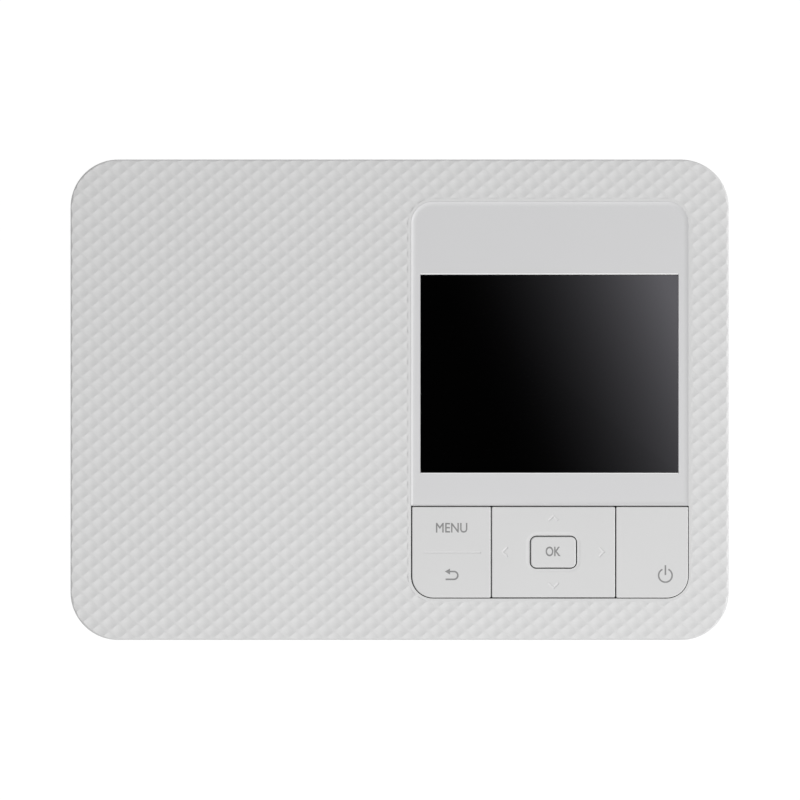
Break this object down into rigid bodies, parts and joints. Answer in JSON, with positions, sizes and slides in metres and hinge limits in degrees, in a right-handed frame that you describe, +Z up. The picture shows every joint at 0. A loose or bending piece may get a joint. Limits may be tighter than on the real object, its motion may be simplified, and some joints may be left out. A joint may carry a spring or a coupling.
{
  "type": "compact photo printer",
  "caption": "Flat rounded box printer with a colour screen and keys on its dimpled top, a drop-down paper door in front and a drop-down ink cassette door at the side.",
  "frame": {"origin": "centre of the footprint on the surface that the feet stand on", "axes": "+X to the right along the long side, +Y to the back (the screen's far edge), +Z up"},
  "size_m": [0.1822, 0.133, 0.0576],
  "materials": {
    "shell_plastic": "moulded ABS, fine spark texture",
    "cover_plastic": "moulded ABS with a field of small faceted dimples",
    "key_plastic": "moulded ABS, fine satin",
    "screen_black": "polished cover panel",
    "dark_plastic": "moulded, fine satin",
    "board_green": "solder resist on glass-epoxy",
    "plated_steel": "zinc-plated sheet and turned parts",
    "foot_rubber": "moulded, matt",
    "roller_rubber": "ground, matt",
    "gear_acetal": "moulded acetal, satin",
    "pinion_brass": "hobbed, bright",
    "dye_film": "dye-coated polyester film",
    "spent_film": "used film, wound",
    "head_aluminium": "extruded, matt",
    "head_ceramic": "glazed strip",
    "lever_plastic": "moulded, satin",
    "chip_plastic": "moulded packages",
    "flex_film": "polyimide film"
  },
  "bodies": {
    "printer": {"base_shell": "shell_plastic", "body_shell": "shell_plastic", "top_cover": "cover_plastic", "display_panel": "cover_plastic", "screen_glass": "screen_black", "lcd_module": "dark_plastic", "key_frame": "dark_plastic", "key_board": "board_green", "key_switches": "plated_steel", "rubber_feet": "foot_rubber", "case_screws": "plated_steel", "chassis_left": "plated_steel", "chassis_right": "plated_steel", "chassis_base": "plated_steel", "chassis_stays": "plated_steel", "chassis_screws": "plated_steel", "roller_bushes": "gear_acetal", "paper_guide": "dark_plastic", "feed_motor": "plated_steel", "gear_bracket": "plated_steel", "ribbon_motor": "plated_steel", "hinge_pins": "plated_steel", "main_board": "board_green", "board_components": "chip_plastic", "card_connector": "plated_steel", "wireless_module": "plated_steel", "io_board": "board_green", "dc_jack": "dark_plastic", "usb_connector": "plated_steel", "fan_housing": "dark_plastic", "display_flex": "flex_film"},
    "menu_key": {"menu_key": "key_plastic"},
    "nav_gimbal": {"nav_gimbal": "dark_plastic"},
    "nav_pad": {"nav_pad": "key_plastic"},
    "ok_key": {"ok_key": "key_plastic"},
    "power_key": {"power_key": "key_plastic"},
    "platen": {"platen_shaft": "plated_steel", "platen_roller": "roller_rubber", "platen_gear": "gear_acetal"},
    "feed_idler": {"feed_idler": "gear_acetal"},
    "feed_pinion": {"feed_pinion": "pinion_brass"},
    "capstan": {"capstan_roller": "plated_steel", "capstan_gear": "gear_acetal"},
    "pinch_roller": {"pinch_roller": "roller_rubber"},
    "pickup_arm": {"pickup_arm": "gear_acetal"},
    "pickup_roller": {"pickup_roller": "roller_rubber"},
    "ribbon_pinion": {"ribbon_pinion": "pinion_brass"},
    "ribbon_drive": {"ribbon_gear": "gear_acetal"},
    "ink_cassette": {"cassette_shell": "dark_plastic", "ink_ribbon": "dye_film"},
    "supply_spool": {"supply_spool": "dye_film"},
    "takeup_spool": {"takeup_spool": "spent_film"},
    "print_head": {"head_heatsink": "head_aluminium", "thermal_head": "head_ceramic"},
    "eject_lever": {"eject_lever": "lever_plastic"},
    "front_door": {"front_door": "shell_plastic"},
    "ink_door": {"ink_door": "shell_plastic"},
    "fan_rotor": {"fan_rotor": "dark_plastic"}
  },
  "joints": [
    {"name": "menu_key_rock", "type": "hinge", "parent": "printer", "child": "menu_key", "pos_m": [0.01425, -0.04218, 0.0544], "axis": [1, 0, 0], "range_deg": [-1.8, 1.8], "stiffness_Nm_per_rad": 0.05},
    {"name": "nav_tilt_front_back", "type": "hinge", "parent": "printer", "child": "nav_gimbal", "pos_m": [0.04253, -0.04218, 0.0544], "axis": [1, 0, 0], "range_deg": [-1.8, 1.8], "stiffness_Nm_per_rad": 0.08},
    {"name": "nav_tilt_left_right", "type": "hinge", "parent": "nav_gimbal", "child": "nav_pad", "pos_m": [0.04253, -0.04218, 0.0544], "axis": [0, 1, 0], "range_deg": [-1.5, 1.5], "stiffness_Nm_per_rad": 0.08},
    {"name": "ok_key_press", "type": "slide", "parent": "printer", "child": "ok_key", "axis": [0, 0, 1], "range_m": [-0.00045, 0], "stiffness_N_per_m": 200, "springref_m": 0.0005},
    {"name": "power_key_press", "type": "hinge", "parent": "printer", "child": "power_key", "pos_m": [0.07, -0.03177, 0.0544], "axis": [1, 0, 0], "range_deg": [0, 1.3], "stiffness_Nm_per_rad": 0.05, "springref_deg": -2.86},
    {"name": "front_door_hinge", "type": "hinge", "parent": "printer", "child": "front_door", "pos_m": [0.006, -0.0643, 0.0068], "axis": [1, 0, 0], "range_deg": [0, 95]},
    {"name": "ink_door_hinge", "type": "hinge", "parent": "printer", "child": "ink_door", "pos_m": [0.0893, 0.013, 0.0168], "axis": [0, 1, 0], "range_deg": [0, 92]},
    {"name": "ink_cassette_slide", "type": "slide", "parent": "printer", "child": "ink_cassette", "axis": [1, 0, 0], "range_m": [0, 0.055]},
    {"name": "takeup_spool_spin", "type": "hinge", "parent": "ink_cassette", "child": "takeup_spool", "pos_m": [0, 0.036, 0.0387], "axis": [1, 0, 0], "continuous": true},
    {"name": "supply_spool_spin", "type": "hinge", "parent": "ink_cassette", "child": "supply_spool", "pos_m": [0, -0.01, 0.0387], "axis": [1, 0, 0], "continuous": true},
    {"name": "ribbon_drive_spin", "type": "hinge", "parent": "printer", "child": "ribbon_drive", "pos_m": [-0.059, 0.036, 0.0387], "axis": [1, 0, 0], "continuous": true},
    {"name": "ribbon_pinion_spin", "type": "hinge", "parent": "printer", "child": "ribbon_pinion", "pos_m": [-0.059, 0.02498, 0.0387], "axis": [1, 0, 0], "continuous": true},
    {"name": "platen_spin", "type": "hinge", "parent": "printer", "child": "platen", "pos_m": [0, 0.013, 0.024], "axis": [1, 0, 0], "continuous": true},
    {"name": "feed_idler_spin", "type": "hinge", "parent": "printer", "child": "feed_idler", "pos_m": [-0.055, 0.0325, 0.0245], "axis": [1, 0, 0], "continuous": true},
    {"name": "feed_pinion_spin", "type": "hinge", "parent": "printer", "child": "feed_pinion", "pos_m": [-0.055, 0.03926, 0.01279], "axis": [1, 0, 0], "continuous": true},
    {"name": "capstan_spin", "type": "hinge", "parent": "printer", "child": "capstan", "pos_m": [0, 0.052, 0.025], "axis": [1, 0, 0], "continuous": true},
    {"name": "pinch_roller_spin", "type": "hinge", "parent": "printer", "child": "pinch_roller", "pos_m": [0, 0.052, 0.0321], "axis": [1, 0, 0], "continuous": true},
    {"name": "pickup_arm_swing", "type": "hinge", "parent": "printer", "child": "pickup_arm", "pos_m": [0, -0.022, 0.029], "axis": [1, 0, 0], "range_deg": [0, 25], "stiffness_Nm_per_rad": 0.005, "springref_deg": -17.19},
    {"name": "pickup_roller_spin", "type": "hinge", "parent": "pickup_arm", "child": "pickup_roller", "pos_m": [0, -0.04, 0.029], "axis": [1, 0, 0], "continuous": true},
    {"name": "print_head_lift", "type": "slide", "parent": "printer", "child": "print_head", "axis": [0, 0, 1], "range_m": [-0.0062, 0], "stiffness_N_per_m": 300, "springref_m": 0.004},
    {"name": "eject_lever_swing", "type": "hinge", "parent": "printer", "child": "eject_lever", "pos_m": [0.066, -0.026, 0.024], "axis": [1, 0, 0], "range_deg": [0, 12], "stiffness_Nm_per_rad": 0.01, "springref_deg": -11.46},
    {"name": "fan_spin", "type": "hinge", "parent": "printer", "child": "fan_rotor", "pos_m": [-0.084, -0.0335, 0.0265], "axis": [1, 0, 0], "continuous": true}
  ],
  "couplings": [
    {"joint": "ink_cassette_slide", "follows": "ink_door_hinge", "m_per_rad": 0.034},
    {"joint": "ribbon_drive_spin", "follows": "takeup_spool_spin", "ratio": 1},
    {"joint": "supply_spool_spin", "follows": "takeup_spool_spin", "ratio": 0.75},
    {"joint": "ribbon_pinion_spin", "follows": "takeup_spool_spin", "ratio": -2.6667},
    {"joint": "feed_idler_spin", "follows": "platen_spin", "ratio": -0.85714},
    {"joint": "capstan_spin", "follows": "platen_spin", "ratio": 1},
    {"joint": "feed_pinion_spin", "follows": "platen_spin", "ratio": 3},
    {"joint": "pinch_roller_spin", "follows": "platen_spin", "ratio": -1.3333}
  ]
}
